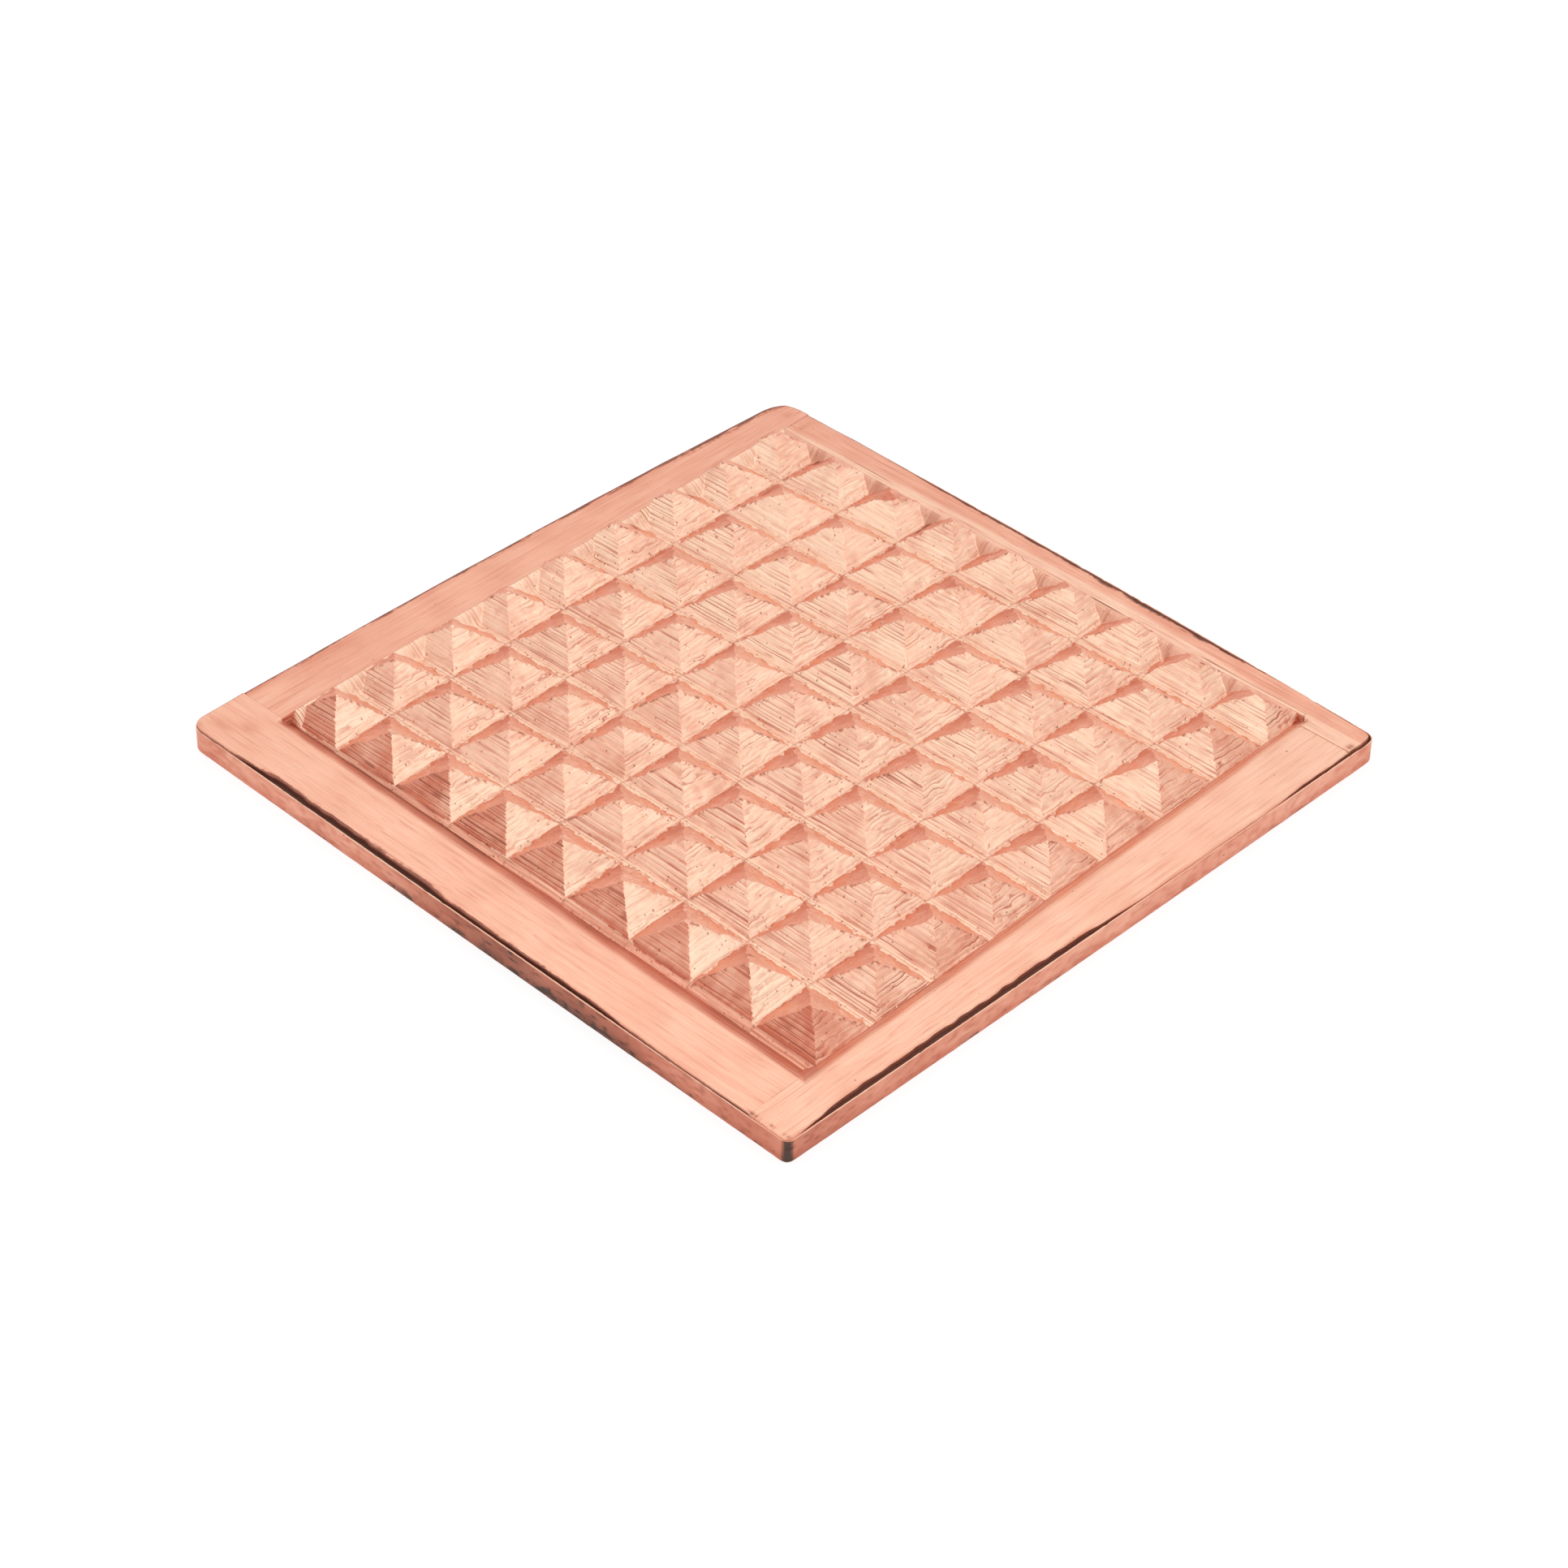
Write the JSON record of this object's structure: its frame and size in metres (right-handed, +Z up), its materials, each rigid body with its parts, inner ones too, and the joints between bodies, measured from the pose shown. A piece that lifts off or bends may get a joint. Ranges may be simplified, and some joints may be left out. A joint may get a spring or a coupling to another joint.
{
  "type": "vastu pyramid plate",
  "caption": "Square copper plate with a flat raised border round a recessed field of small square pyramids standing in rows.",
  "frame": {"origin": "middle of the plate's extent, on its flat underside", "axes": "+Z up out of the pyramids' points; +X and +Y along the lines of pyramids, with the wider moats on the -X and -Y sides; the plate's outline lies 1.2 degrees askew to them"},
  "size_m": [0.0514, 0.0514, 0.0026],
  "materials": {
    "base_copper": "filed copper, dull, with brown tarnish on its sides",
    "border_copper": "bright copper with fine grain lines along each strip",
    "pyramid_copper": "bright pitted copper with fine steps parallel to the edges of each face"
  },
  "bodies": {
    "root": {"base_plate": "base_copper", "border_strip_front": "border_copper", "border_strip_left": "border_copper", "border_strip_back": "border_copper", "border_strip_right": "border_copper", "pyramid_bar_1": "pyramid_copper", "pyramid_bar_2": "pyramid_copper", "pyramid_bar_3": "pyramid_copper", "pyramid_bar_4": "pyramid_copper", "pyramid_bar_5": "pyramid_copper", "pyramid_bar_6": "pyramid_copper", "pyramid_bar_7": "pyramid_copper", "pyramid_bar_8": "pyramid_copper", "pyramid_bar_9": "pyramid_copper"}
  },
  "joints": []
}
